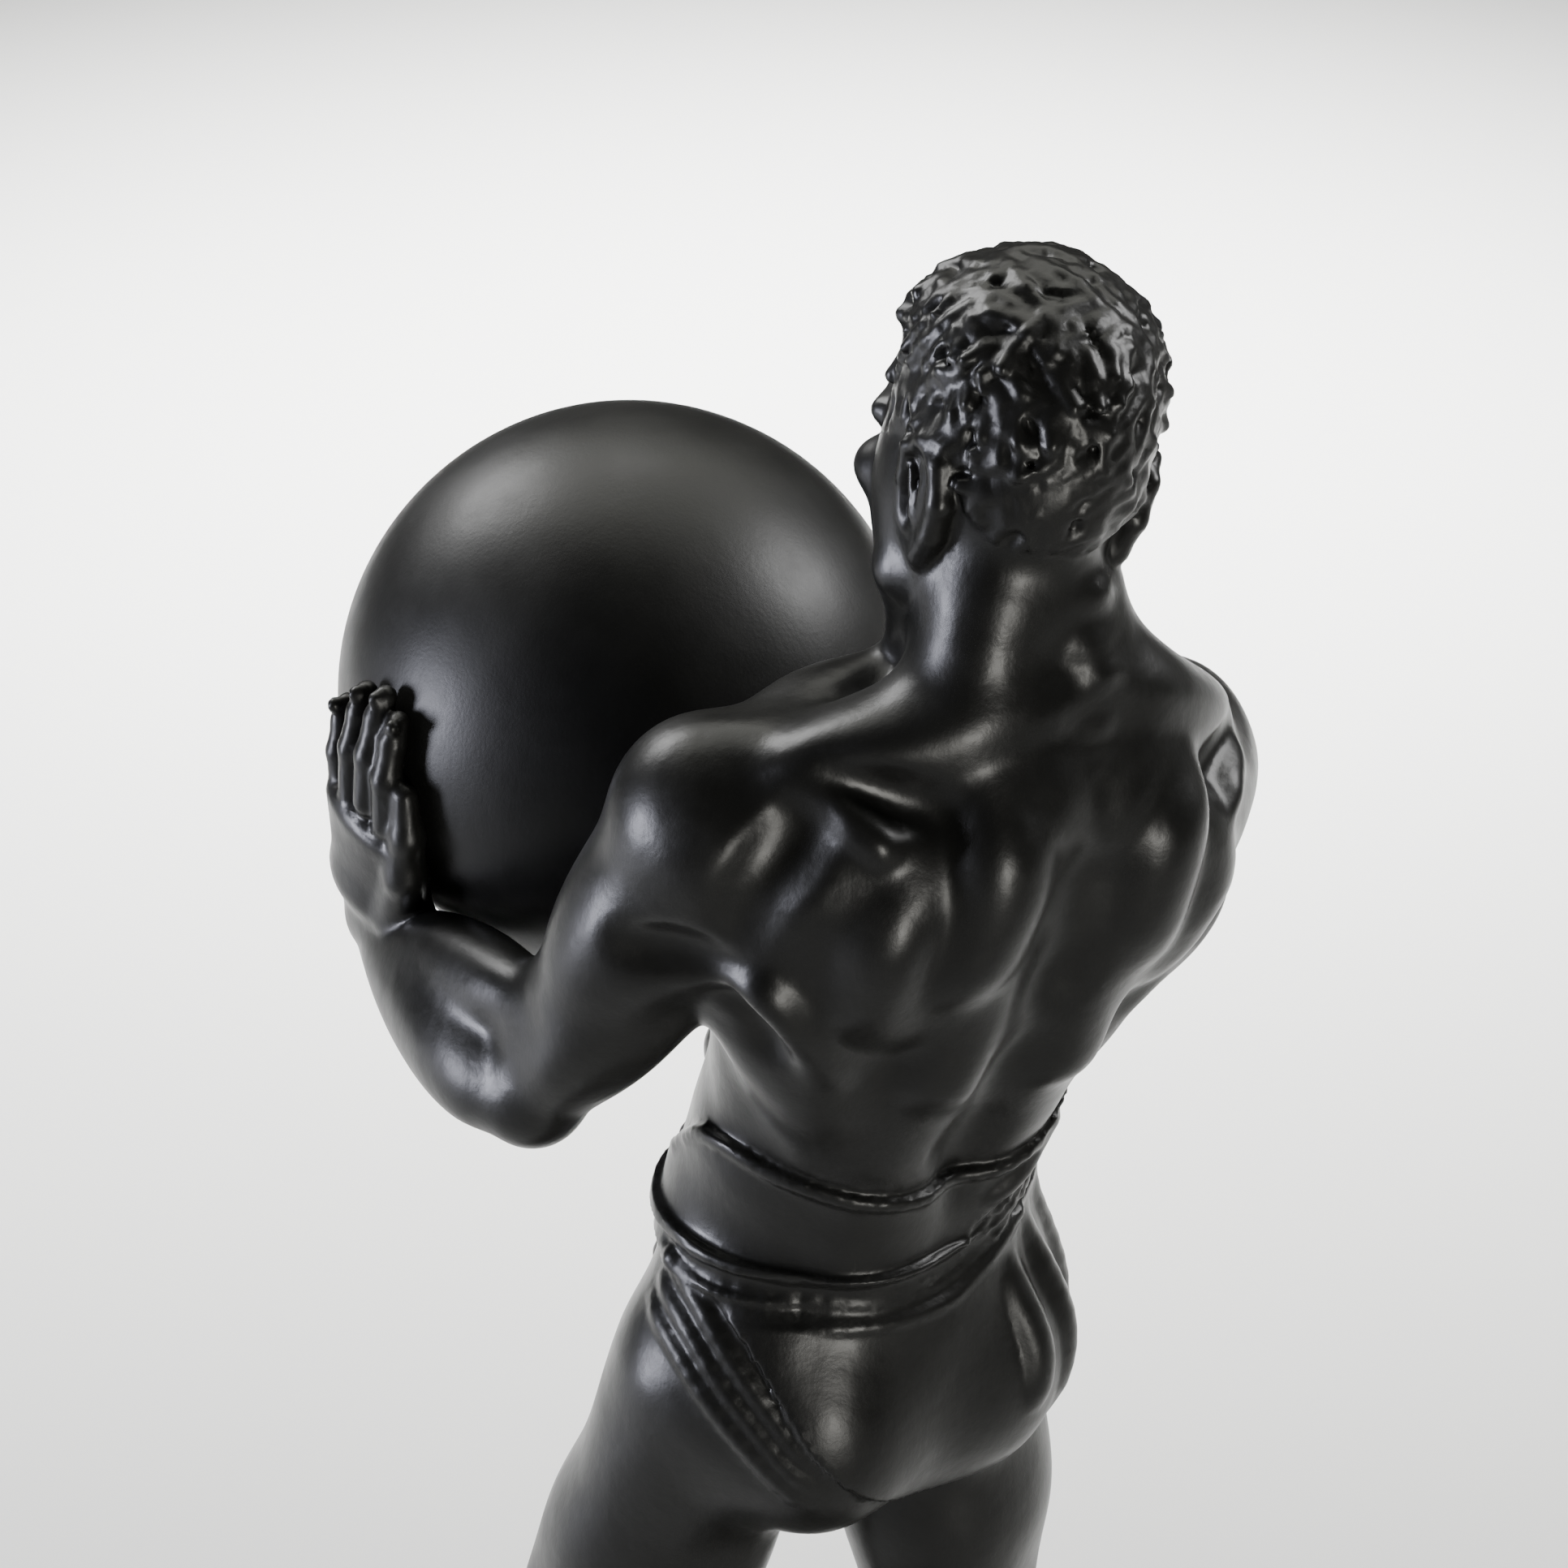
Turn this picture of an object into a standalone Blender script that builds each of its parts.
"""Atlas statue: a standing man who hugs a large globe to his chest, on a low plinth.

The man is one casting, modelled as a sculptor builds a figure up in clay: bone by bone and muscle
by muscle in a field of distances, whose zero surface is then netted into a closed mesh and thinned
by a Decimate modifier. The globe is a ball seated in his arms, and the plinth is a bevelled block
under his feet.

Frame: metres, +Z up, origin at the middle of the plinth's underside. The man faces -Y, and his
left side is at +X.
"""

import math

import bmesh
import bpy
import numpy as np

# Driving dimensions, in metres
FIGURE_HEIGHT = 0.470  # the man, were he to stand upright
GLOBE_RADIUS = 0.0533
PLINTH_HEIGHT = 0.016
PLINTH_MARGIN = 0.010  # bare top around the feet
PLINTH_CORNER = 0.012  # radius of its upright edges
PLINTH_EDGE = 0.002  # radius around its top
SEAT_GAP = 0.0003  # between the casting, the globe and the plinth

# Fineness of the solids
CLAY_CELL = 0.0020  # side of one cell of the clay
FIGURE_TRIANGLES = 8000
GLOBE_SEGMENTS = 40
GLOBE_RINGS = 20

# The man's proportions are in centimetres of a man 180 cm tall, here called units
UNIT = FIGURE_HEIGHT / 180
GLOBE = GLOBE_RADIUS / UNIT
GAP = SEAT_GAP / UNIT
FAR = 1000.0

# Pose: where the main masses are, and how far each leans back, tilts to his right and turns left
PELVIS = ((-4.0, -6.7, 87.0), 2, 0, -3)
CHEST = ((-4.6, -0.1, 119.3), 12, 6, -7)
HEAD = ((-4.6, 6.4, 153.9), 0, 11, -24)
GLOBE_FROM_CHEST = (0.0, -12.0, 4.0)  # where on the chest the globe rests
GLOBE_CENTRE_WAY = (0.06, -0.99, 0.08)  # from there to the globe's centre
SHOULDERS = {1: (17.3, -2.0, 13.4), -1: (-17.3, -2.0, 11.8)}
UPPER_ARM = 26.9
FOREARM = 23.8
THIGH = 42.0
SHIN = 40.0
# Where each ankle stands, and how far that foot points to his left, in degrees
ANKLES = {1: ((10.8, -24.5, 8.4), 12), -1: ((-14.0, 9.5, 8.4), -28)}
# Reach of a foot from its ankle: to the toes, to the heel and to either side
FOOT_REACH = (21.3, 7.2, 4.9)
CURLS = 130  # tufts of hair over a whole ball, of which the scalp keeps its own


def vec(*values):
    return np.array(values, float)


def unit(vector):
    return np.asarray(vector, float) / np.linalg.norm(vector)


def turned(lean, tilt, turn):
    """Rotation that leans the top back, tilts it to his right and then turns the front to his left."""
    a, b, c = np.radians([-lean, -tilt, turn])
    about_x = np.array([[1, 0, 0], [0, math.cos(a), -math.sin(a)], [0, math.sin(a), math.cos(a)]])
    about_y = np.array([[math.cos(b), 0, math.sin(b)], [0, 1, 0], [-math.sin(b), 0, math.cos(b)]])
    about_z = np.array([[math.cos(c), -math.sin(c), 0], [math.sin(c), math.cos(c), 0], [0, 0, 1]])
    return about_z @ about_y @ about_x


def square_to(way, side):
    """Columns: the side made square to the way, the third axis, and the way itself."""
    w = unit(way)
    u = unit(np.asarray(side, float) - np.dot(side, w) * w)
    return np.column_stack([u, np.cross(w, u), w])


class Frame:
    """A body part's own axes: x to his left, y to his back, z up."""

    def __init__(self, origin, axes):
        self.origin = np.asarray(origin, float)
        self.axes = axes

    def at(self, x, y, z):
        return self.origin + self.axes @ vec(x, y, z)

    def way(self, x, y, z):
        return self.axes @ vec(x, y, z)


def posed(place):
    origin, lean, tilt, turn = place
    return Frame(origin, turned(lean, tilt, turn))


def melt(a, b, blend):
    """The lesser of two distances, rounded where they are alike."""
    near = np.maximum(blend - np.abs(a - b), 0) / blend
    return np.minimum(a, b) - near * near * blend * 0.25


class Clay:
    """A block of space whose values are distances to the surface, less than zero inside."""

    def __init__(self, low, high, cell):
        self.cell = cell
        self.low = np.asarray(low, float)
        self.count = np.ceil((np.asarray(high, float) - self.low) / cell).astype(int) + 1
        self.field = np.full(self.count, FAR, np.float32)

    def block(self, low, high):
        """The part of the field between two corners, and the places of its samples."""
        first = np.clip(np.floor((low - self.low) / self.cell).astype(int), 0, self.count)
        last = np.clip(np.ceil((high - self.low) / self.cell).astype(int) + 1, 0, self.count)
        part = tuple(slice(a, b) for a, b in zip(first, last))
        places = [
            (self.low[i] + self.cell * np.arange(first[i], last[i])).astype(np.float32)
            for i in range(3)
        ]
        return part, np.ix_(*places)

    def stroke(self, distance, low, high, blend, carve):
        """Adds or carves one shape, and touches only the samples near it."""
        reach = max(blend, 1.5) + self.cell
        part, places = self.block(low - reach, high + reach)
        if min(s.stop - s.start for s in part) <= 0:
            return
        old = self.field[part]
        new = distance(*places)
        if carve:
            self.field[part] = -melt(-old, new, blend)
        else:
            self.field[part] = melt(old, new, blend)

    def blob(self, centre, radii, axes=np.eye(3), blend=1.0, carve=False):
        """An ellipsoid."""
        r = np.asarray(radii, float)
        half = np.sqrt((axes**2) @ (r**2))

        def distance(x, y, z):
            k0 = 0
            k1 = 0
            for i in range(3):
                along = (
                    axes[0, i] * (x - centre[0])
                    + axes[1, i] * (y - centre[1])
                    + axes[2, i] * (z - centre[2])
                )
                k0 = k0 + (along / r[i]) ** 2
                k1 = k1 + (along / r[i] ** 2) ** 2
            k0 = np.sqrt(k0)
            return k0 * (k0 - 1) / np.sqrt(k1 + 1e-9)

        self.stroke(distance, centre - half, centre + half, blend, carve)

    def strand(self, start, end, first, last, blend=1.0, carve=False):
        """A round bar between two points, from one radius to another."""
        run = end - start
        length = float(run @ run) + 1e-9
        fat = max(first, last)

        def distance(x, y, z):
            px, py, pz = x - start[0], y - start[1], z - start[2]
            t = np.clip((px * run[0] + py * run[1] + pz * run[2]) / length, 0, 1)
            off = (px - t * run[0]) ** 2 + (py - t * run[1]) ** 2 + (pz - t * run[2]) ** 2
            return np.sqrt(off) - (first + (last - first) * t)

        low = np.minimum(start, end) - fat
        self.stroke(distance, low, np.maximum(start, end) + fat, blend, carve)

    def path(self, points, radii, blend=1.0, carve=False):
        """Bars end to end through the points."""
        for i in range(len(points) - 1):
            self.strand(points[i], points[i + 1], radii[i], radii[i + 1], blend, carve)

    def muscle(self, start, end, wide, thick, side, blend=1.0, tip=0.35, belly=0.5, carve=False):
        """A spindle between two points, this wide and thick each way at its belly."""
        axes = square_to(end - start, side)
        length = np.linalg.norm(end - start)
        fat = max(wide, thick)
        warp = math.log(0.5) / math.log(belly)

        def distance(x, y, z):
            u, v, w = (
                axes[0, i] * (x - start[0])
                + axes[1, i] * (y - start[1])
                + axes[2, i] * (z - start[2])
                for i in range(3)
            )
            t = np.clip(w / length, 0, 1)
            swell = tip + (1 - tip) * (4 * t**warp * (1 - t**warp)) ** 0.75
            a, b = wide * swell, thick * swell
            past = (w - t * length) / b
            k0 = np.sqrt((u / a) ** 2 + (v / b) ** 2 + past**2)
            k1 = np.sqrt((u / a**2) ** 2 + (v / b**2) ** 2 + (past / b) ** 2 + 1e-9)
            return k0 * (k0 - 1) / k1

        low = np.minimum(start, end) - fat
        self.stroke(distance, low, np.maximum(start, end) + fat, blend, carve)

    def dress(self, frame, low, high, inside, thickness, blend=0.3):
        """A layer of cloth over what is there, where a function of the frame's own axes is below 0."""
        ends = (low, high)
        box = [frame.at(ends[i][0], ends[j][1], ends[k][2]) for i, j, k in np.ndindex(2, 2, 2)]
        part, places = self.block(np.min(box, 0), np.max(box, 0))
        own = [sum(frame.axes[j, i] * (places[j] - frame.origin[j]) for j in range(3)) for i in range(3)]
        room = np.maximum.reduce([np.maximum(lo - q, q - hi) for lo, q, hi in zip(low, own, high)])
        old = self.field[part]
        layer = np.maximum(old - thickness, np.maximum(inside(*own), room))
        self.field[part] = melt(old, layer, blend)

    def skin(self, start, end):
        """Where the line from a point inside first leaves the clay."""
        steps = np.linspace(0, 1, 121)
        at = (start + np.outer(steps, end - start) - self.low) / self.cell
        base = np.clip(np.floor(at).astype(int), 0, self.count - 2)
        rest = at - base
        value = 0
        for i, j, k in np.ndindex(2, 2, 2):
            corner = base + (i, j, k)
            weight = np.abs(1 - vec(i, j, k) - rest).prod(1)
            value = value + weight * self.field[tuple(corner.T)]
        inside = value < 0
        last = np.flatnonzero(inside[:-1] & ~inside[1:])[0]
        share = value[last] / (value[last] - value[last + 1])
        return start + (end - start) * (steps[last] + share / 120)

    def outward(self, spot):
        """The way straight out of the surface near a point."""
        i, j, k = np.round((spot - self.low) / self.cell).astype(int)
        near = self.field[i - 1 : i + 2, j - 1 : j + 2, k - 1 : k + 2].astype(float)
        rise = near[2, 1, 1] - near[0, 1, 1], near[1, 2, 1] - near[1, 0, 1], near[1, 1, 2] - near[1, 1, 0]
        return unit(rise)

    def smooth(self, spread):
        """Rubs the surface smooth over about this distance."""
        self.field = np.clip(self.field, -1.5, 1.5)
        for _ in range(round(2 * (spread / self.cell) ** 2)):
            for axis in range(3):
                rows = np.moveaxis(self.field, axis, 0)
                middle = (rows[:-2] + rows[2:]) * 0.25 + rows[1:-1] * 0.5
                rows[1:-1] = middle

    def loft(self, points, wides, thicks, side, blend=1.0):
        """A tube of oval section through the points."""
        for i in range(len(points) - 1):
            self.bar(points[i : i + 2], wides[i : i + 2], thicks[i : i + 2], side, blend)

    def bar(self, ends, wides, thicks, side, blend):
        """One stretch of an oval tube."""
        start, end = ends
        axes = square_to(end - start, side)
        length = np.linalg.norm(end - start)
        fat = max(*wides, *thicks)

        def distance(x, y, z):
            u, v, w = (
                axes[0, i] * (x - start[0])
                + axes[1, i] * (y - start[1])
                + axes[2, i] * (z - start[2])
                for i in range(3)
            )
            t = np.clip(w / length, 0, 1)
            ease = t * t * (3 - 2 * t)
            a = wides[0] + (wides[1] - wides[0]) * ease
            b = thicks[0] + (thicks[1] - thicks[0]) * ease
            past = (w - t * length) / np.minimum(a, b)
            k0 = np.sqrt((u / a) ** 2 + (v / b) ** 2 + past**2)
            k1 = np.sqrt((u / a**2) ** 2 + (v / b**2) ** 2 + (past / np.minimum(a, b)) ** 2 + 1e-9)
            return k0 * (k0 - 1) / k1

        low = np.minimum(start, end) - fat
        self.stroke(distance, low, np.maximum(start, end) + fat, blend, False)


def netted(clay):
    """The clay's zero surface as points and quads: one point in each cell that it crosses."""
    inside = cleared(clay.field < 0)
    n = inside.shape
    corners = [(i, j, k) for i in (0, 1) for j in (0, 1) for k in (0, 1)]
    full = np.zeros([s - 1 for s in n], np.uint8)
    for i, j, k in corners:
        full += inside[i : n[0] - 1 + i, j : n[1] - 1 + j, k : n[2] - 1 + k]
    cells = np.argwhere((full > 0) & (full < 8))
    values = {c: clay.field[tuple((cells + c).T)] for c in corners}
    signs = {c: inside[tuple((cells + c).T)] for c in corners}
    total = np.zeros((len(cells), 3))
    crossings = np.zeros(len(cells))
    for a in corners:
        for axis in range(3):
            if a[axis]:
                continue
            b = tuple(1 if i == axis else a[i] for i in range(3))
            crossed = signs[a] != signs[b]
            rise = values[b] - values[a]
            t = np.clip(-values[a] / np.where(rise == 0, 1, rise), 0.05, 0.95)
            point = np.tile(np.array(a, float), (len(cells), 1))
            point[:, axis] += t
            total[crossed] += point[crossed]
            crossings += crossed
    points = clay.low + clay.cell * (cells + total / crossings[:, None])
    flat = np.ravel_multi_index(cells.T, full.shape)
    quads = []
    for axis in range(3):
        others = [i for i in range(3) if i != axis]
        ahead = np.take(inside, range(1, n[axis]), axis)
        here = np.take(inside, range(n[axis] - 1), axis)
        for leaving in (True, False):
            edges = np.argwhere((here & ~ahead) if leaving else (~here & ahead))
            ring = []
            for step in ((0, 0), (1, 0), (1, 1), (0, 1)):
                cell = edges.copy()
                cell[:, others[0]] -= step[0]
                cell[:, others[1]] -= step[1]
                ring.append(np.searchsorted(flat, np.ravel_multi_index(cell.T, full.shape)))
            outward = leaving == (axis != 1)
            quads.append(np.column_stack(ring if outward else ring[::-1]))
    return points, np.concatenate(quads)


def cleared(inside):
    """The same samples with each chequered face filled, so that no edge has four faces."""
    inside = inside.copy()
    for _ in range(20):
        filled = 0
        for axis in range(3):
            b, c = [i for i in range(3) if i != axis]
            views = []
            for i, j in ((0, 0), (0, 1), (1, 0), (1, 1)):
                cut = [slice(None)] * 3
                cut[b] = slice(i, inside.shape[b] - 1 + i)
                cut[c] = slice(j, inside.shape[c] - 1 + j)
                views.append(inside[tuple(cut)])
            chequered = (views[0] == views[3]) & (views[1] == views[2]) & (views[0] != views[1])
            filled += int(chequered.sum())
            for view in views:
                view |= chequered
        if not filled:
            break
    return inside


PELVIS_FRAME = posed(PELVIS)
CHEST_FRAME = posed(CHEST)
HEAD_FRAME = posed(HEAD)
GLOBE_CENTRE = CHEST_FRAME.at(*GLOBE_FROM_CHEST) + (GLOBE + GAP) * unit(GLOBE_CENTRE_WAY)


def globe_spot(s, x, y, z, above):
    """The point that lies this far over the globe's surface, on the line this way from its centre."""
    return GLOBE_CENTRE + (GLOBE + above) * unit((s * x, y, z))


def bend_between(start, end, first, second, outward):
    """Where the middle joint of a bent limb is, on the given side of the line between its ends."""
    reach = np.linalg.norm(end - start)
    way = (end - start) / reach
    along = (first**2 + reach**2 - second**2) / (2 * reach)
    off = math.sqrt(max(first**2 - along**2, 0))
    out = unit(outward - np.dot(outward, way) * way)
    return start + along * way + off * out


def smoothed(points, count):
    """A smooth run of this many points through the given ones."""
    p = np.asarray(points, float)
    p = np.vstack([2 * p[0] - p[1], p, 2 * p[-1] - p[-2]])
    run = []
    for u in np.linspace(0, len(p) - 3, count):
        i = min(int(u), len(p) - 4)
        t = u - i
        a, b, c, d = p[i : i + 4]
        bend = (2 * a - 5 * b + 4 * c - d) * t**2 + (3 * b - a - 3 * c + d) * t**3
        run.append(b + 0.5 * ((c - a) * t + bend))
    return run


def laid(clay, frame, points, radius, height, blend=0.8, count=12):
    """A stroke through these places around a part of the body: a ridge this high, or a crease if it is
    less than 0, with a section of this radius. It fades out at both ends."""
    spots = []
    for i, (x, y, z) in enumerate(smoothed(points, count)):
        reach = vec(x, y, 0) * 26 / math.hypot(x, y)
        spot = clay.skin(frame.at(0, 0, z), frame.at(reach[0], reach[1], z))
        ease = math.sin(math.pi * (0.06 + 0.88 * i / (count - 1)))
        above = math.copysign(radius - abs(height) * ease, -height)
        spots.append(spot + above * clay.outward(spot))
    clay.path(spots, [radius] * count, blend, height < 0)


def torso(clay):
    p, c = PELVIS_FRAME, CHEST_FRAME
    side, up = c.way(1, 0, 0), c.way(0, 0, 1)
    clay.blob(p.at(0.4, 1, 5), (13.2, 10.0, 11.5), p.axes)
    clay.blob(c.at(0.8, 0.0, 1.0), (11.7, 10.0, 18.5), c.axes @ turned(8, 0, 0), 3)
    clay.blob(c.at(0, 1.0, 13), (15.0, 8.8, 9.5), c.axes, 4)
    waist = [p.at(0.4, 0, 8), (p.at(1.9, 0, 20) + c.at(1.9, 0, -14)) / 2, c.at(1.2, -0.5, -7)]
    clay.loft(waist, (11.6, 9.1, 10.2), (9.0, 8.0, 9.0), side, 4)
    clay.blob(p.at(0, -3, 12), (11, 7, 10), p.axes, 4)
    for s in (1, -1):
        shoulder = c.at(*SHOULDERS[s])
        acromion = shoulder + c.way(-s * 1.2, 3.2, 6.4)
        # Side of the ribs, and the broad muscle from the armpit to the waist
        clay.muscle(c.at(s * 12.8, 0, 10), c.at(0.6 + s * 8.2, -1, -10), 4, 3.2, c.way(0, 1, 0), 3)
        waist_side = p.at(1.1 + s * 3.9, 5.5, 20)
        clay.muscle(c.at(s * 12.6, 4.4, 9), waist_side, 5.4, 3.8, c.way(s, 0.9, 0), 2.5)
        low_back = c.at(1.8 + s * 4.7, 6.8, -4)
        clay.muscle(low_back, shoulder + c.way(s * 0.5, 3.2, -5.5), 5.2, 2.8, up, 4)
        # Chest muscle
        clay.blob(c.at(s * 7.4, -7.8, 6), (8.2, 4.2, 6.6), c.axes, 2.5)
        clay.muscle(c.at(s * 5, -8.2, 8), shoulder + c.way(0, -2, -2), 5, 3.2, up, 2.5)
        clay.muscle(c.at(s * 2, -6.0, 20.5), acromion + c.way(0, -2.4, -0.2), 1.5, 1.5, side, 1.8, 0.8)
        collar = acromion + c.way(-s * 2.5, -5.6, -2.2)
        clay.muscle(c.at(s * 3, -6.5, 17), collar, 3.6, 3.2, up, 2.5, 0.6)
        # Long muscles beside the spine
        back = [p.at(s * 3.6, 7.8, 4), p.at(s * 3.8, 7.4, 15), c.at(s * 4.0, 6.4, -8)]
        back += [c.at(s * 4.0, 9.2, 0), c.at(s * 3.6, 10.0, 8), c.at(s * 2.8, 8.8, 20)]
        clay.loft(back, (3.4, 3.6, 3.8, 3.6, 3.2, 2.6), (2.2, 2.4, 2.4, 2.4, 2.2, 2.0), side, 2)
        # Kite-shaped muscle from the neck to the shoulder and down the spine
        clay.muscle(c.at(s * 1.0, 7.6, 27), acromion, 4.6, 3.0, c.way(0, 1, 0.5), 2.5, 0.5)
        clay.muscle(c.at(s * 2.5, 9.0, 24), c.at(s * 3.2, 10.6, 0), 5.4, 2.4, side, 2.5)
        beside = acromion + c.way(-s * 2, 2.0, -2.5)
        clay.muscle(c.at(s * 3.0, 10.0, 20), beside, 5.0, 3.0, up, 2.5, 0.75)
        # Shoulder blade with its ridge, and the muscles from it to the arm
        clay.blob(c.at(s * 9.6, 8.6, 10.5), (4.4, 3.0, 8.0), c.axes @ turned(4, s * 8, -s * 30), 2.5)
        rise = SHOULDERS[s][2] - 13.4
        ridge = [acromion + c.way(0, 1.2, 0), c.at(s * 14.6, 5.2, 19.4 + rise)]
        ridge += [c.at(s * 12.4, 7.4, 18.6 + rise), c.at(s * 10.9, 9.1, 18.1 + rise)]
        clay.path(ridge, (1.2, 1.1, 1.0, 0.8), 1.6)
        for start, end, wide, thick in (
            (c.at(s * 10.2, 9.4, 13.0), shoulder + c.way(s * 3.0, 3.6, 0.2), 4.8, 3.0),
            (c.at(s * 10.8, 9.0, 6.5), shoulder + c.way(s * 2.6, 3.0, -5), 3.8, 2.8),
        ):
            clay.muscle(start, end, wide, thick, up, 2.4, 0.6)
        clay.muscle(c.at(s * 6.6, 10.2, 22), c.at(s * 8.0, 10.9, 9), 2.8, 1.9, side, 1.8, 0.4)
    # Belly: the navel, and the muscle in blocks either side of the middle
    for s in (1, -1):
        for place in (c.at(s * 3.0, -9.4, -3), c.at(s * 3.1, -8.6, -9), p.at(s * 3.0, -8.4, 21)):
            clay.blob(place, (3.0, 1.8, 3.1), c.axes, 1.2)
    clay.blob(p.at(0, -10.2, 17.5), (0.7, 1.2, 0.9), p.axes, 0.8, carve=True)
    # Furrow of the spine
    furrow = [p.at(0, 11.6, 19), c.at(0, 10.4, -8), c.at(0, 13.0, 0), c.at(0, 13.6, 8), c.at(0, 13.0, 16)]
    clay.path(furrow, (0.6, 1.2, 1.5, 1.3, 0.7), 3.4, carve=True)


def relief(clay):
    """Ridges, creases and knuckles of bone on the back, laid over the soft forms."""
    c = CHEST_FRAME
    for s in (1, -1):
        drop = SHOULDERS[s][2] - SHOULDERS[1][2]
        deep = 1.0 if s > 0 else 0.5  # the raised left shoulder is the more worked
        ridge = [(s * 16.8, 3.4, 21.4 + drop), (s * 16.2, 5.2, 19.8 + drop)]
        ridge += [(s * 14.5, 6.9, 19.2 + drop), (s * 12.4, 8.4, 18.5 + drop)]
        ridge += [(s * 10.9, 9.9, 18.2 + drop)]
        laid(clay, c, [(x, y, z + 1.7) for x, y, z in ridge[1:]], 1.8, -0.3 * deep, 1.2)
        laid(clay, c, ridge[1:], 1.1, 0.8 * deep, 0.8)
        # Inner edge of the shoulder blade, between two swells
        valley = [(s * 10.2, 10.6, 18.4), (s * 9.4, 11.6, 15.8), (s * 9.4, 12.0, 11.0)]
        laid(clay, c, valley, 2.4, -0.6 * deep, 1.8)
        swell = [(s * 11.4, 10.8, 17.0), (s * 11.0, 11.1, 14.6), (s * 12.4, 10.6, 8.0)]
        laid(clay, c, swell, 2.4, 0.5 * deep, 1.8)
        swell = [(s * 7.8, 12.0, 19.0), (s * 7.6, 12.6, 15.4), (s * 8.0, 12.8, 10.0)]
        laid(clay, c, swell, 2.4, 0.6 * deep, 1.8)
        # Heads of the shoulder muscle, and its lower edge across the back of the arm
        if s > 0:
            laid(clay, c, [(17.0, 5.8, 18.4), (18.6, 5.9, 15.6), (20.0, 5.2, 10.4)], 2.2, -0.7, 1.4)
            laid(clay, c, [(23.4, 0.0, 6.6), (21.2, 2.8, 7.6), (18.6, 5.6, 7.2)], 1.5, -0.6, 1.2)
        # Fold from the armpit down on to the ribs
        fold = [(s * 18.8, 4.6, 6.8), (s * 17.2, 6.6, 6.4), (s * 15.2, 7.6, 3.7), (s * 12.4, 8.8, 0.4)]
        laid(clay, c, fold, 1.5, 0.8 * deep, 1.0)
        laid(clay, c, [(x + s * 0.8, y - 0.6, z - 2.0) for x, y, z in fold[:3]], 1.2, -0.7 * deep, 0.9)
    # Points of the vertebrae
    knuckles = ((1.2, 9.0, 33.8, 0.7), (1.4, 9.2, 30.6, 1.0), (0.4, 9.6, 29.0, 0.9))
    for x, y, z, r in knuckles + ((0.1, 10.4, 25.4, 0.8), (-0.1, 10.8, 23.4, 0.7)):
        spot = clay.skin(c.at(0, 0, z), c.at(x * 2.4, y * 2.4, z))
        clay.blob(spot - 0.4 * r * clay.outward(spot), (1.5 * r, 1.0 * r, 0.9 * r), c.axes, 0.9)


def neck(clay):
    c, h = CHEST_FRAME, HEAD_FRAME
    clay.loft([c.at(0, 2.0, 19), h.at(0, 2.4, -4)], (5.6, 4.6), (6.2, 5.6), c.way(1, 0, 0), 3)
    for s in (1, -1):
        clay.muscle(h.at(s * 5.6, 3.4, -2.0), c.at(s * 2, -6.5, 20), 1.9, 1.6, c.way(1, 0, 0), 1.5)
        clay.muscle(h.at(s * 2.0, 5.4, -1), c.at(s * 7, 5, 22.5), 2.8, 2.4, c.way(0, 1, 0), 4, 0.6)


def head(clay):
    h = HEAD_FRAME
    clay.blob(h.at(0, 0.4, 4.9), (7.1, 9.4, 9.6), h.axes, 1.5)
    face = [h.at(0, -2.6, 2.5), h.at(0, -4.4, -3), h.at(0, -6.4, -7.2)]
    clay.loft(face, (6.5, 5.6, 3.4), (6.4, 5.0, 2.8), h.way(1, 0, 0), 1.5)
    for s in (1, -1):
        clay.path([h.at(s * 5.4, 0.2, -4.4), h.at(s * 1.8, -8.0, -8.2)], (1.8, 1.6), 1.5)
        clay.blob(h.at(s * 4.7, -6.6, -0.6), (2.3, 2.2, 1.9), h.axes, 1.5)
        ear(clay, s)
    clay.blob(h.at(0, -8.5, -8.0), (2.3, 1.8, 1.8), h.axes, 1.2)
    clay.blob(h.at(0, -8.2, -4.8), (3.3, 2.2, 2.6), h.axes, 1.2)
    clay.path([h.at(0, -9.2, 2.8), h.at(0, -11.3, -1.5)], (0.9, 1.3), 0.8)
    for s in (1, -1):
        brow = [h.at(s * 5.9, -6.6, 3.0), h.at(s * 3.6, -8.8, 3.9), h.at(s * 0.9, -9.5, 3.3)]
        clay.path(brow, (0.8, 1.1, 0.8), 1.0)
        clay.blob(h.at(s * 3.1, -10.1, 1.7), (1.8, 1.6, 1.2), h.axes, 0.8, carve=True)
        clay.blob(h.at(s * 3.1, -7.7, 1.7), (1.5, 1.5, 1.3), h.axes, 0.5)
        clay.blob(h.at(s * 1.4, -10.2, -2.2), (0.9, 1.1, 0.9), h.axes, 0.5)
    clay.blob(h.at(0, -9.9, -4.5), (2.4, 0.9, 0.7), h.axes, 0.4)
    clay.blob(h.at(0, -9.7, -5.6), (2.1, 0.9, 0.8), h.axes, 0.4)


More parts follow.
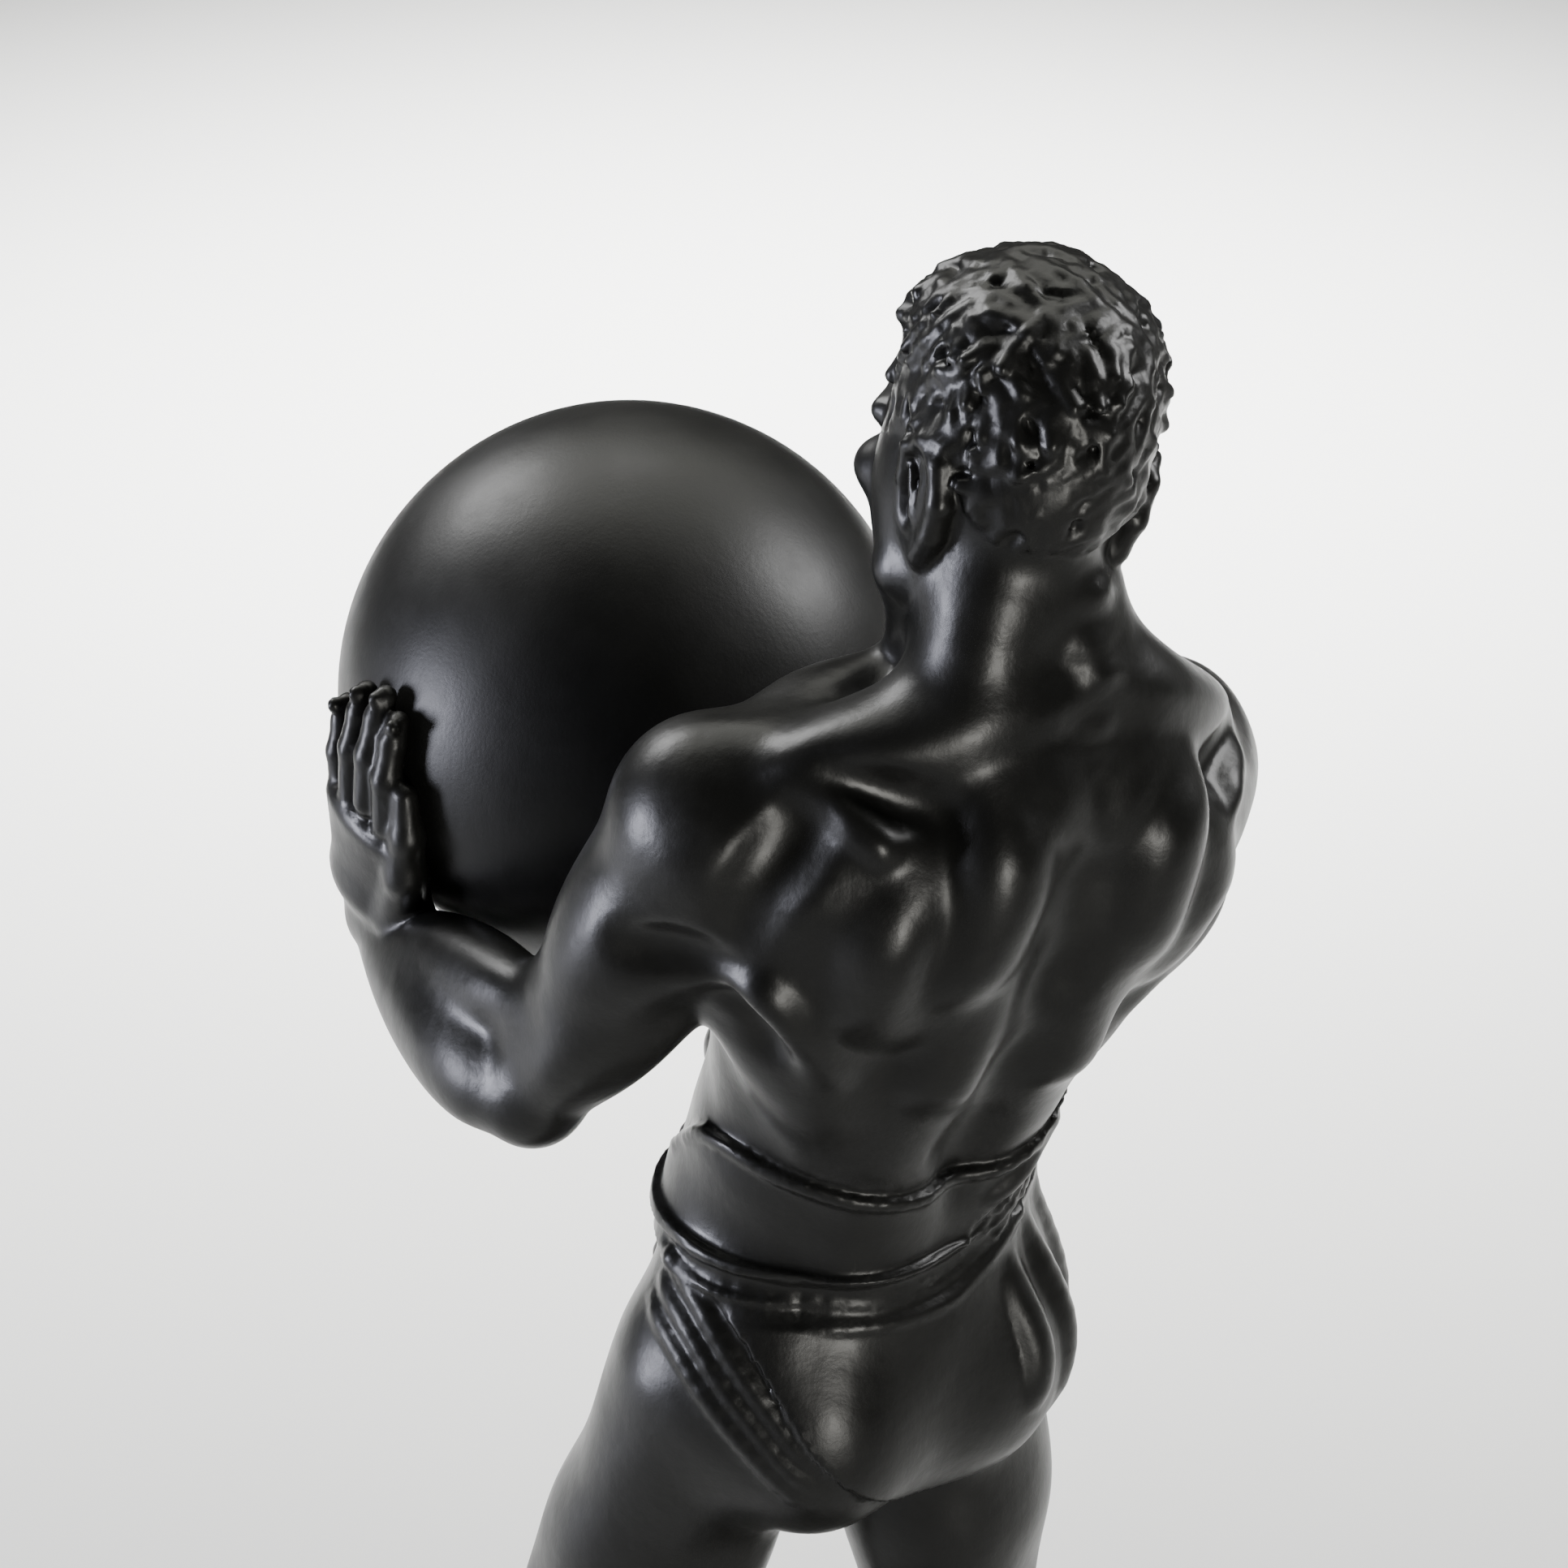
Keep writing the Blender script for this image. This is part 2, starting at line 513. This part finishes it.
def ear(clay, s):
    """The shell of the ear, laid back against the skull: a rim around a hollow."""
    h = HEAD_FRAME
    axes = h.axes @ turned(4, -s * 7, s * 17)
    e = Frame(h.at(s * 6.3, 3.4, 1.2), axes)
    clay.blob(h.at(s * 5.6, -0.6, 0.6), (2.0, 3.4, 4.4), h.axes, 1.5)
    clay.blob(h.at(s * 6.9, 6.8, 0.6), (1.0, 1.2, 2.6), h.axes, 0.8, carve=True)
    clay.blob(e.at(0, 0.2, 0), (0.9, 2.3, 3.9), axes, 0.5)
    clay.blob(e.at(s * 0.9, -0.6, 0.3), (0.9, 0.9, 2.5), axes, 0.5, carve=True)
    rim = [e.at(s * 0.3, -1.7, 0.6), e.at(s * 0.5, -1.4, 2.8), e.at(s * 0.5, 0.2, 3.9)]
    rim += [e.at(s * 0.5, 1.8, 3.0), e.at(s * 0.5, 2.3, 0.8), e.at(s * 0.3, 1.7, -1.6)]
    rim += [e.at(0, 0.6, -3.5)]
    clay.path(rim, (0.45, 0.5, 0.6, 0.75, 0.8, 0.75, 0.8), 0.4)
    clay.path([e.at(s * 0.5, -0.7, 1.8), e.at(s * 0.6, 0.1, -1.0)], (0.3, 0.35), 0.3)


def on_scalp(way):
    """Whether a direction from the middle of the head meets hair, by its angle from the front."""
    round_head = math.degrees(math.atan2(abs(way[0]), -way[1]))
    hairline = np.interp(
        round_head,
        (0, 40, 62, 76, 86, 100, 125, 142, 160),
        (0.60, 0.52, 0.30, -0.05, 0.10, 0.24, 0.20, -0.26, -0.42),
    )
    return way[2] > hairline


def scalp_way(i, count):
    """Directions spread evenly on a spiral over the upper part of a ball."""
    rise = 1 - 1.45 * (i + 0.5) / count
    turn = i * math.pi * (3 - math.sqrt(5))
    out = math.sqrt(1 - rise * rise)
    return vec(out * math.cos(turn), out * math.sin(turn), rise)


def cap(clay):
    """The mass of the hair, before it is worked."""
    h = HEAD_FRAME
    clay.blob(h.at(0, 0.9, 6.8), (7.2, 9.2, 8.8), h.axes, 0.8)
    clay.blob(h.at(0, 4.4, 3.2), (5.4, 4.9, 3.4), h.axes, 1.0)
    clay.blob(h.at(0.4, 0.5, 10.6), (6.9, 7.4, 4.4), h.axes, 1.5)


def scalp_spots(clay, count):
    """Places over the scalp, with their numbers and the ways out of the head there."""
    h = HEAD_FRAME
    spots = []
    for i in range(count):
        way = scalp_way(i, count)
        if on_scalp(way):
            spots.append((i, clay.skin(h.at(0, 1, 4), h.at(*(vec(0, 1, 4) + 16 * way))), way))
    return spots


def hair(clay):
    """A close cap of short hair over the scalp, worked into curls."""
    h = HEAD_FRAME
    cap(clay)
    for i, spot, way in scalp_spots(clay, CURLS):
        swirl = np.cross(way, unit((math.cos(2.4 * i), math.sin(1.7 * i), 0.4)))
        half = 1.0 * h.axes @ unit(swirl)
        spot = spot - 0.15 * h.axes @ way
        clay.strand(spot - half, spot + half, 0.55, 0.4, 0.5)


def wrist_of(s):
    return globe_spot(s, 0.764, -0.249, -0.597, 2.9)


def elbow_of(s):
    shoulder = CHEST_FRAME.at(*SHOULDERS[s])
    return bend_between(shoulder, wrist_of(s), UPPER_ARM, FOREARM, vec(s * 5.1, 8.1, -11.7))


def arm(clay, s):
    c = CHEST_FRAME
    shoulder, elbow, wrist = c.at(*SHOULDERS[s]), elbow_of(s), wrist_of(s)
    upper, fore = unit(elbow - shoulder), unit(wrist - elbow)
    crook = unit(fore - np.dot(fore, upper) * upper)
    outer = s * unit(np.cross(crook, upper))
    over = unit(np.dot(upper, fore) * fore - upper)

    def on_upper(share, out, front):
        return shoulder + (elbow - shoulder) * share + outer * out + crook * front

    def on_fore(share, out, top):
        return elbow + (wrist - elbow) * share + outer * out + over * top

    clay.strand(shoulder, elbow, 4.4, 3.4, 2)
    # Shoulder cap in three heads that run down to one point on the outer side
    foot = on_upper(0.60, 2.6, -0.6)
    clay.blob(shoulder + c.way(s * 0.6, -0.4, 0), (6.2, 6.4, 7.0), c.axes, 2.5)
    clay.muscle(shoulder + c.way(-s * 4.0, -3.4, 3.0), foot, 3.6, 3.4, outer, 2.2, 0.4)
    clay.muscle(shoulder + c.way(s * 0.2, 0.6, 3.6), foot, 5.4, 4.4, crook, 1.4, 0.45)
    clay.muscle(shoulder + c.way(-s * 3.0, 5.8, 2.6), foot, 4.4, 3.4, crook, 1.4, 0.4)
    # Front and back of the upper arm
    clay.muscle(on_upper(0.18, 0, 2.0), on_upper(0.98, 0, 2.0), 3.6, 3.4, outer, 1.4, 0.4)
    clay.muscle(on_upper(0.45, 2.0, 0.8), on_upper(1.0, 1.6, 1.0), 2.4, 2.0, crook, 1.0, 0.4)
    clay.muscle(on_upper(0.10, -1.4, -2.8), on_upper(0.90, -0.6, -2.0), 3.9, 3.6, outer, 1.2, 0.4)
    clay.muscle(on_upper(0.30, 1.6, -2.2), on_upper(0.92, 1.2, -2.0), 3.0, 2.8, crook, 1.0, 0.4)
    clay.strand(on_upper(0.6, 0.3, -2.6), on_upper(0.96, 0.2, -1.4), 2.0, 1.7, 1.5)
    # Elbow and forearm
    clay.blob(on_upper(0.97, 0.2, -0.9), (1.9, 1.9, 2.0), np.eye(3), 1.2)
    clay.strand(elbow, wrist, 3.1, 2.4, 2)
    clay.muscle(on_upper(0.72, 2.2, 0.8), on_fore(0.80, 1.2, 1.2), 3.3, 3.0, crook, 1.2, 0.35)
    clay.muscle(on_fore(0.0, 2.0, -0.4), on_fore(0.97, 0.8, -0.3), 4.6, 3.6, crook, 1.2, 0.35, 0.36)
    clay.muscle(on_fore(0.04, -0.8, -0.5), on_fore(0.97, -0.4, -0.4), 4.2, 3.2, outer, 1.2, 0.35, 0.38)


def hand(clay, s):
    """Palm and fingers laid up the side of the globe, the thumb close along the first finger."""
    wrist = wrist_of(s)
    palm = [globe_spot(s, 0.88, -0.15, -0.42, 2.0), globe_spot(s, 0.97, -0.07, -0.16, 1.5)]
    across = unit(np.cross(palm[1] - palm[0], palm[0] - GLOBE_CENTRE))
    clay.loft([wrist] + palm, (2.6, 3.8, 4.3), (2.3, 2.0, 1.5), across, 1.2)
    # Each finger: where it leaves the palm, where its tip lies, and its radius
    fingers = (
        ((0.975, 0.06, -0.12), (0.965, 0.085, 0.225), 0.95),
        ((0.985, -0.02, -0.07), (0.955, 0.010, 0.280), 1.0),
        ((0.985, -0.12, -0.08), (0.955, -0.095, 0.260), 0.95),
        ((0.965, -0.22, -0.12), (0.940, -0.215, 0.175), 0.85),
    )
    for root, tip, r in fingers:
        way = [vec(*root) + (vec(*tip) - vec(*root)) * t for t in (0, 0.45, 0.8, 1)]
        spots = [globe_spot(s, *w, r + h) for w, h in zip(way, (0.5, 0.45, 0.2, 0.0))]
        clay.path(spots, (r * 1.12, r * 1.05, r * 0.95, r * 0.8), 0.4)
    thumb = [globe_spot(s, 0.875, 0.00, -0.46, 2.0), globe_spot(s, 0.945, 0.10, -0.29, 1.7)]
    thumb += [globe_spot(s, 0.97, 0.14, -0.14, 1.3), globe_spot(s, 0.98, 0.145, 0.0, 1.15)]
    clay.path(thumb, (2.1, 1.4, 1.1, 0.85), 0.7)


def ankle_of(s):
    """Where the ankle is, and the ways to the toes and to his left there."""
    place, toes = ANKLES[s]
    front = unit((math.sin(math.radians(toes)), -math.cos(math.radians(toes)), 0))
    return vec(*place), front, np.cross(vec(0, 0, 1), -front)


def leg(clay, s):
    p = PELVIS_FRAME
    ankle, front, left = ankle_of(s)
    hip = p.at(0.5 + s * 8.5, 0, 0)
    knee = bend_between(hip, ankle, THIGH, SHIN, 0.7 * front + vec(0, -0.3, 0))
    t = Frame(hip, square_to(hip - knee, left))
    k = Frame(knee, square_to(knee - ankle, left))
    x = t.way(1, 0, 0)
    core = [t.at(-s * 0.4, 1, 0), t.at(0, 0.3, -17), t.at(-s * 0.4, 0.2, -33), k.at(0, 0.3, 0)]
    clay.loft(core, (7.6, 7.2, 5.4, 4.9), (8.0, 7.2, 5.6, 5.2), x, 3)
    clay.muscle(t.at(s * 4.2, -1, -3), t.at(s * 2.6, -1.6, -37), 4.4, 3.6, t.way(0, 1, 0), 2, 0.45)
    clay.muscle(t.at(s * 0.6, -4.2, -2), t.at(0, -3.2, -37), 3.8, 3.6, x, 2, 0.45)
    clay.blob(t.at(-s * 3.0, -2.4, -33), (2.9, 3.0, 5.5), t.axes, 1.8)
    clay.muscle(t.at(-s * 3.5, 1, -1), t.at(-s * 2.6, 1.5, -32), 4.4, 4.4, x, 2.5, 0.4)
    clay.muscle(t.at(s * 1.8, 4.2, -6), t.at(s * 2.6, 3.4, -40), 3.4, 3.4, x, 1.8, 0.4)
    clay.muscle(t.at(-s * 1.8, 4.4, -6), t.at(-s * 2.6, 3.2, -40), 3.4, 3.4, x, 1.8, 0.4)
    # Knee, shin and calf
    clay.blob(k.at(0, -3.9, 1.0), (2.5, 1.6, 2.9), k.axes, 1.5)
    clay.strand(k.at(0, 0.2, 0), ankle, 4.5, 2.7, 2)
    clay.blob(k.at(-s * 2.3, 3.2, -11.5), (3.4, 3.5, 9.0), k.axes, 1.6)
    clay.blob(k.at(s * 2.1, 3.2, -10.5), (3.2, 3.3, 8.2), k.axes, 1.4)
    clay.blob(k.at(0, 2.0, -19), (4.0, 3.0, 9), k.axes, 2)
    clay.strand(k.at(0, 2.8, -22), k.at(0, 3.4, -37), 1.9, 1.2, 1.5)
    clay.muscle(k.at(s * 1.4, -2.2, -3), k.at(-s * 0.4, -1.6, -33), 2.6, 2.3, x, 1.5, 0.4)
    clay.strand(k.at(-s * 0.6, -3.0, -4), k.at(-s * 0.8, -1.9, -34), 1.3, 1.1, 1.5)


def foot(clay, s):
    ankle, front, left = ankle_of(s)
    f = Frame((ankle[0], ankle[1], 0), np.column_stack([left, -front, vec(0, 0, 1)]))
    top = ankle[2]
    clay.blob(f.at(s * 2.7, 0.6, top - 0.6), (1.3, 1.5, 1.6), f.axes, 1.2)
    clay.blob(f.at(-s * 2.6, 0.0, top + 0.4), (1.3, 1.6, 1.7), f.axes, 1.2)
    clay.blob(f.at(0, 3.8, 2.6), (3.0, 3.4, 3.6), f.axes, 2)
    clay.strand(f.at(0, 1.6, top - 0.5), f.at(0, 3.6, 3.2), 3.0, 2.8, 2)
    ridge = [f.at(0, 0.8, top - 1.6), f.at(-s * 0.2, -5.0, 4.6), f.at(0, -10.5, 2.9), f.at(s * 0.2, -15, 1.6)]
    clay.loft(ridge, (3.0, 3.2, 4.0, 4.4), (3.6, 3.2, 2.3, 1.6), f.way(1, 0, 0), 1.8)
    clay.strand(f.at(0, 2, 1.6), f.at(0, -8, 1.8), 2.6, 2.6, 2)
    clay.strand(f.at(s * 2.2, 3, 1.6), f.at(s * 3.3, -13, 1.3), 1.9, 1.7, 1.5)
    clay.strand(f.at(-s * 2.0, -9, 1.9), f.at(-s * 2.8, -14.5, 1.7), 1.6, 1.9, 1.2)
    clay.strand(f.at(-s * 2.8, -14.5, 1.7), f.at(-s * 2.5, -20.0, 1.1), 1.5, 1.25, 0.7)
    for i in range(4):
        start = f.at(s * (-0.8 + 1.4 * i), -14.6 + 0.5 * i, 1.7)
        end = f.at(s * (-0.5 + 1.5 * i), -20.3 + 0.9 * i, 0.8)
        clay.strand(start, end, 1.15 - 0.06 * i, 0.95 - 0.06 * i, 0.5)


def hips(clay):
    """Buttocks and the front of the hips, under the cloth."""
    p = PELVIS_FRAME
    for s in (1, -1):
        clay.blob(p.at(0.3 + s * 6.1, 4.6, -0.5), (7.7, 8.0, 9.6), p.axes, 2)
        clay.blob(p.at(0.4 + s * 9.4, 1.0, 4.5), (4.4, 6.6, 8.0), p.axes, 2.5)
    clay.blob(p.at(-7.8, 1.5, 14.0), (5.2, 6.4, 4.6), p.axes, 2)
    clay.blob(p.at(0, 6.6, 0), (6.0, 4.6, 9.0), p.axes, 3)
    clay.blob(p.at(0, -5, -4), (6.5, 5.0, 7.0), p.axes, 3)


def hem(x, y):
    """Height of the cloth's lower edge around the hips: open on the left thigh, lower on the right."""
    round_hip = np.arctan2(y, x)
    from_left = np.abs(round_hip - math.radians(-8))
    return -9.0 + 19.5 / (1 + (from_left / 0.95) ** 4)


def footprint():
    """Corners of the flat box, in units, that holds both feet."""
    toe, heel, side = FOOT_REACH
    corners = []
    for place, toes in ANKLES.values():
        front = vec(math.sin(math.radians(toes)), -math.cos(math.radians(toes)))
        left = vec(-front[1], front[0])
        for ahead in (toe, -heel):
            corners += [vec(*place[:2]) + ahead * front + s * side * left for s in (1, -1)]
    return np.min(corners, 0), np.max(corners, 0)


def band_top(x, y):
    """Height of the band's upper edge: up over both hips, down towards the front."""
    rise = 0.018 * np.maximum(x, 0) ** 2 + 0.05 * np.maximum(-x - 1, 0) ** 2
    return np.minimum(19.4 + rise, 23.0) - 0.75 * np.maximum(-y, 0)


def loincloth(clay):
    """Cloth wound around the hips: a smooth band under the waist over a thin skirt, with folds."""
    p = PELVIS_FRAME
    side = p.way(1, 0, 0)

    def skirt(x, y, z):
        return np.maximum(z - 13.0, hem(x, y) - z)

    def band(x, y, z):
        return np.maximum(z - band_top(x, y), 12.4 + 0.2 * np.maximum(-x, 0) - z)

    clay.dress(p, (-17, -17, -12), (17, 17, 16), skirt, 0.5)
    clay.dress(p, (-16, -17, 4), (16, 17, 28), band, 0.5, 0.6)
    lip = []
    for i in range(13):
        turn = math.radians(-32 + 262 * i / 12)
        x, y = 12.5 * math.cos(turn), 11.0 * math.sin(turn)
        lip.append((x, y, float(band_top(x, y)) - 0.3))
    laid(clay, p, lip, 0.45, 0.15, 0.4, 60)
    # Flap at the front, hanging from the band in three folds
    for x, length in ((-3.6, -15.0), (0.2, -18.0), (4.0, -16.0)):
        drop = [p.at(x, -10.6, 13), p.at(1.1 * x, -12.4, 2), p.at(1.25 * x, -12.2, length)]
        clay.loft(drop, (2.4, 2.6, 2.9), (1.1, 1.2, 1.1), side, 1.0)
    # Creases under the band, which fan out and climb over his right hip
    crease = [(14.0, -3, 12.6), (13.6, 3.2, 12.4), (9.4, 9.2, 12.6)]
    crease += [(4.6, 11.7, 12.4), (-0.5, 12, 12.6)]
    for spread in (0, 1, 2, 3):
        fan = [(-4.5, 11.4, 14.6), (-8.5, 9.5, 17.8), (-12, 3, 20.2), (-12, -5, 19.2)]
        low = [(x, y, z - 0.85 * spread) for x, y, z in crease[spread // 2 :]]
        low += [(x, y, z - (1.0 + 0.5 * i) * spread) for i, (x, y, z) in enumerate(fan)]
        laid(clay, p, low, 0.45, -0.4 + 0.04 * spread, 0.35, 36)
        laid(clay, p, [(x, y, z - 0.45) for x, y, z in low[1:]], 0.5, 0.2, 0.4, 32)
    # Soft rolls where the band is drawn up over the right hip
    for rise in (0.0, 1.6):
        roll = [(-3.6, 11.7, 16.2 + 0.4 * rise), (-8.5, 9.5, 19.4 + rise), (-12.2, 3.0, 21.0 + rise)]
        laid(clay, p, roll, 0.8, 0.4, 0.6, 20)
    # Pulls from the left hip down across the seat, and folds that hang at the right hip
    for drop in (0.0, 1.7, 3.2):
        pull = [(14.2, -2.5, 10.6 - drop), (14.0, 2.0, 9.4 - 1.2 * drop), (12.6, 6.4, 5.4 - 1.3 * drop)]
        laid(clay, p, pull + [(10.0, 9.6, 0.6 - 1.3 * drop)], 0.7, 0.4, 0.5, 16)
    hanging = ((-7.0, 12.0, 9, -1), (-10.5, 9.5, 11, -4), (-13.0, 5.5, 12, -6), (-13.6, 0.5, 13, -7))
    for x, y, top, low in hanging:
        fold = [(x, y, top), (1.03 * x, y, (top + low) / 2), (x, 1.04 * y, low)]
        laid(clay, p, fold, 1.2, 0.8, 0.8)


def room():
    """Two corners of a box that holds the whole man with some space around him."""
    ends = [HEAD_FRAME.at(0, 0, 12), GLOBE_CENTRE - GLOBE, GLOBE_CENTRE + GLOBE, vec(0, 0, 5)]
    for s in (1, -1):
        ends += [elbow_of(s), ankle_of(s)[0] + FOOT_REACH[0], ankle_of(s)[0] - FOOT_REACH[0]]
    low, high = np.min(ends, 0) - 8, np.max(ends, 0) + 8
    return vec(low[0], low[1], -3), high


def sculpted(cell):
    """The whole man in clay."""
    clay = Clay(*room(), cell)
    torso(clay)
    neck(clay)
    hips(clay)
    for s in (1, -1):
        leg(clay, s)
        arm(clay, s)
    clay.smooth(0.5)
    relief(clay)
    clay.smooth(0.45)
    loincloth(clay)
    head(clay)
    hair(clay)
    for s in (1, -1):
        foot(clay, s)
        hand(clay, s)
    clay.blob(GLOBE_CENTRE, (GLOBE + GAP,) * 3, blend=0.05, carve=True)
    z = clay.low[2] + clay.cell * np.arange(clay.count[2])
    clay.field = np.maximum(clay.field, -z[None, None, :].astype(np.float32))
    return clay


def painted(name, colour, roughness):
    material = bpy.data.materials.new(name)
    material.use_nodes = True
    shader = material.node_tree.nodes["Principled BSDF"]
    shader.inputs["Base Color"].default_value = (*colour, 1)
    shader.inputs["Roughness"].default_value = roughness
    shader.inputs["Metallic"].default_value = 0.0
    return material


def placed(name, mesh, material, location):
    mesh.materials.append(material)
    mesh.shade_smooth()
    obj = bpy.data.objects.new(name, mesh)
    obj.location = location
    bpy.context.scene.collection.objects.link(obj)
    return obj


def figure(location, material):
    points, quads = netted(sculpted(CLAY_CELL / UNIT))
    mesh = bpy.data.meshes.new("figure")
    mesh.from_pydata(np.round(points * UNIT, 6).tolist(), [], quads.tolist())
    obj = placed("figure", mesh, material, location)
    thin = obj.modifiers.new("thin", "DECIMATE")
    thin.ratio = FIGURE_TRIANGLES / (2 * len(quads))
    return obj


def globe(location, material):
    ball = bmesh.new()
    bmesh.ops.create_uvsphere(
        ball, u_segments=GLOBE_SEGMENTS, v_segments=GLOBE_RINGS, radius=GLOBE_RADIUS
    )
    mesh = bpy.data.meshes.new("globe")
    ball.to_mesh(mesh)
    ball.free()
    return placed("globe", mesh, material, location)


def plinth(size, material):
    """A block with rounded upright edges and a softened top edge, its underside at z = 0."""
    block = bmesh.new()
    bmesh.ops.create_cube(block, size=1)
    bmesh.ops.scale(block, vec=(*size, PLINTH_HEIGHT), verts=block.verts)
    bmesh.ops.translate(block, vec=(0, 0, PLINTH_HEIGHT / 2), verts=block.verts)
    upright = [e for e in block.edges if abs(e.verts[0].co.z - e.verts[1].co.z) > PLINTH_HEIGHT / 2]
    bmesh.ops.bevel(
        block, geom=upright, offset=PLINTH_CORNER, segments=8, profile=0.5, affect="EDGES"
    )
    top = [e for e in block.edges if min(v.co.z for v in e.verts) > PLINTH_HEIGHT * 0.99]
    bmesh.ops.bevel(block, geom=top, offset=PLINTH_EDGE, segments=3, profile=0.5, affect="EDGES")
    mesh = bpy.data.meshes.new("plinth")
    block.to_mesh(mesh)
    block.free()
    return placed("plinth", mesh, material, (0, 0, 0))


def main():
    for obj in list(bpy.data.objects):
        bpy.data.objects.remove(obj, do_unlink=True)
    low, high = footprint()
    middle = (low + high) / 2
    shift = vec(-middle[0] * UNIT, -middle[1] * UNIT, PLINTH_HEIGHT + SEAT_GAP)
    figure(shift, painted("black_resin", (0.010, 0.010, 0.009), 0.38))
    globe(GLOBE_CENTRE * UNIT + shift, painted("black_resin_globe", (0.010, 0.010, 0.009), 0.42))
    size = (high - low) * UNIT + 2 * PLINTH_MARGIN
    plinth(size[:2], painted("black_resin_plinth", (0.011, 0.011, 0.010), 0.45))


main()
